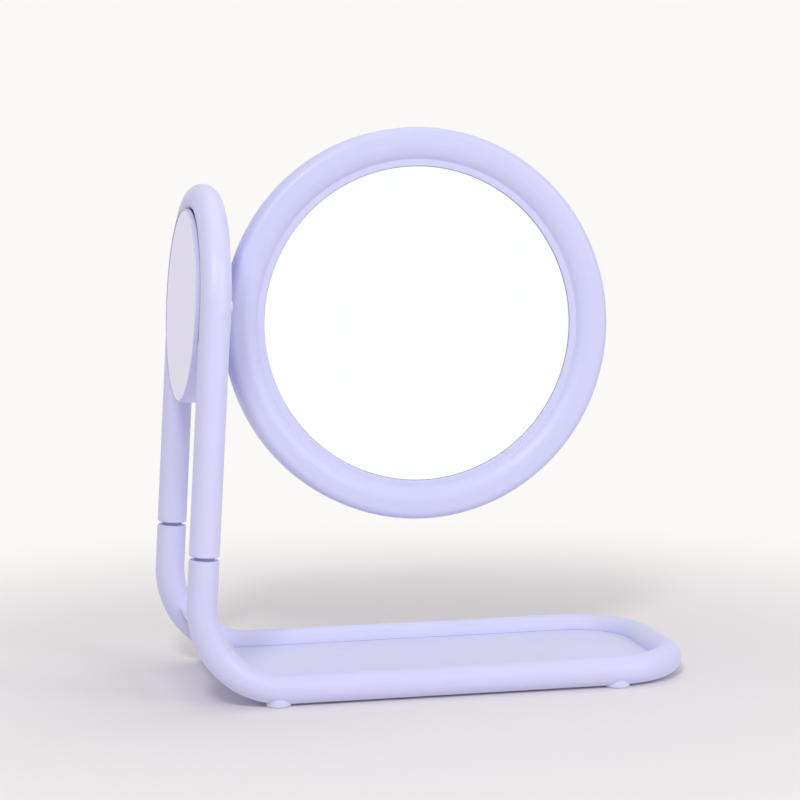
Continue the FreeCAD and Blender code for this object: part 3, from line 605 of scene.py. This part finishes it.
def ring_profile():
    """Outline of one shell's section: radius and height above the mid-plane."""
    crown_outside = ring_outside - ring_shoulder
    crown_inside = crown_outside - ring_crown
    slope_centre = (crown_inside, ring_top - slope_radius)
    rise = lip_height + crease_round - slope_centre[1]
    run = math.sqrt((slope_radius + crease_round) ** 2 - rise ** 2)
    meeting = math.degrees(math.atan2(rise, -run))
    crease = (crown_inside - run, lip_height + crease_round)
    lip = (lip_radius + lip_round, lip_height - lip_round)
    cavity_inside = glass_seat + ring_wall
    cavity_outside = ring_outside - ring_wall
    cavity_top = ring_top - ring_wall
    return ([(ring_outside - seam_ease, 0), (ring_outside, seam_ease)]
            + arc((crown_outside, ring_flank), ring_shoulder, 0, 90, steps=14)
            + arc(slope_centre, slope_radius, 90, meeting, steps=12)
            + arc(crease, crease_round, meeting - 180, -90, steps=8)
            + arc(lip, lip_round, 90, 180, steps=6)
            + [(lip_radius, glass_face), (glass_seat, glass_face), (glass_seat, 0),
               (cavity_inside, 0), (cavity_inside, glass_face), (crown_inside, cavity_top),
               (crown_outside, cavity_top), (cavity_outside, ring_flank), (cavity_outside, 0)])


def make_turning_tree():
    """Tree that turns a closed outline round its axis and bores one hole through the rim."""
    tree = bpy.data.node_groups.new("turned_shell", "GeometryNodeTree")
    for title, kind in (("Outline", "Geometry"), ("Segments", "Int"), ("Path Radius", "Float"),
                        ("Rim Radius", "Float"), ("Hole Radius", "Float"),
                        ("Hole Length", "Float"), ("Finish", "Material")):
        tree.interface.new_socket(title, in_out="INPUT", socket_type="NodeSocket" + kind)
    tree.interface.new_socket("Shell", in_out="OUTPUT", socket_type="NodeSocketGeometry")
    given = new_node(tree, "NodeGroupInput").outputs
    made = new_node(tree, "NodeGroupOutput").inputs
    outline = new_node(tree, "GeometryNodeMeshToCurve")
    feed(tree, outline.inputs["Mesh"], given["Outline"])
    circle = new_node(tree, "GeometryNodeCurvePrimitiveCircle")
    feed(tree, circle.inputs["Resolution"], given["Segments"])
    feed(tree, circle.inputs["Radius"], given["Path Radius"])
    turned = new_node(tree, "GeometryNodeCurveToMesh")
    feed(tree, turned.inputs["Curve"], circle.outputs["Curve"])
    feed(tree, turned.inputs["Profile Curve"], outline.outputs["Curve"])
    drill = new_node(tree, "GeometryNodeMeshCylinder")
    feed(tree, drill.inputs["Vertices"], hole_sides)
    feed(tree, drill.inputs["Radius"], given["Hole Radius"])
    feed(tree, drill.inputs["Depth"], given["Hole Length"])
    hole_place = new_node(tree, "ShaderNodeCombineXYZ")
    feed(tree, hole_place.inputs["X"], combine(tree, "MULTIPLY", given["Rim Radius"], -1.0))
    aimed = new_node(tree, "GeometryNodeTransform")
    feed(tree, aimed.inputs["Geometry"], drill.outputs["Mesh"])
    feed(tree, aimed.inputs["Translation"], hole_place.outputs["Vector"])
    feed(tree, aimed.inputs["Rotation"], (0, math.pi / 2, 0))
    bored = new_node(tree, "GeometryNodeMeshBoolean", operation="DIFFERENCE")
    feed(tree, bored.inputs["Mesh 1"], turned.outputs["Mesh"])
    feed(tree, bored.inputs["Mesh 2"], aimed.outputs["Geometry"])
    real = new_node(tree, "GeometryNodeRealizeInstances")
    feed(tree, real.inputs["Geometry"], bored.outputs["Mesh"])
    finished = new_node(tree, "GeometryNodeSetMaterial")
    feed(tree, finished.inputs["Geometry"], real.outputs["Geometry"])
    feed(tree, finished.inputs["Material"], given["Finish"])
    feed(tree, made["Shell"], finished.outputs["Geometry"])
    return tree


def grow(name, mesh, tree, **values):
    """Object with the plain mesh that the tree makes of the mesh; inputs are in lower case."""
    holder = bpy.data.objects.new(name, mesh)
    scene.collection.objects.link(holder)
    modifier = holder.modifiers.new("maker", "NODES")
    modifier.node_group = tree
    for item in tree.interface.items_tree:
        key = item.name.lower().replace(" ", "_")
        if item.in_out == "INPUT" and key in values:
            modifier[item.identifier] = values[key]
    bpy.context.view_layer.update()
    made = bpy.data.meshes.new_from_object(
        holder.evaluated_get(bpy.context.evaluated_depsgraph_get()))
    holder.modifiers.remove(modifier)
    finish = made.materials[-1]
    made.materials.clear()
    made.materials.append(finish)
    for face in made.polygons:
        face.material_index = 0
    holder.data = made
    return holder


turning_tree = make_turning_tree()
ring_plastic = moulded_plastic("ring_plastic", ring_lilac)


def make_ring_shell(name, place):
    """One shell of the ring, turned from its profile and laid in its place."""
    section = ring_profile()
    outline = bpy.data.meshes.new(name)
    outline.from_pydata(
        [(radius - lip_radius, height, 0) for radius, height in section],
        [(index, (index + 1) % len(section)) for index in range(len(section))], [])
    shell = grow(name, outline, turning_tree, segments=turning_steps, path_radius=lip_radius,
                 rim_radius=ring_outside, hole_radius=neck_hole, hole_length=hole_length,
                 finish=ring_plastic)
    shell.data.transform(place)
    shell.data.shade_smooth()
    shell.data.set_sharp_from_angle(angle=sharp_angle)
    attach(shell, "mirror_head")
    return shell


ring_front = make_ring_shell("ring_front_moulding", mirror_place)
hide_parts("ring_front_shell")
half_turn = Matrix.Rotation(math.pi, 4, "X")
ring_rear = make_ring_shell("ring_rear_moulding", mirror_place @ half_turn)
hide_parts("ring_rear_shell")
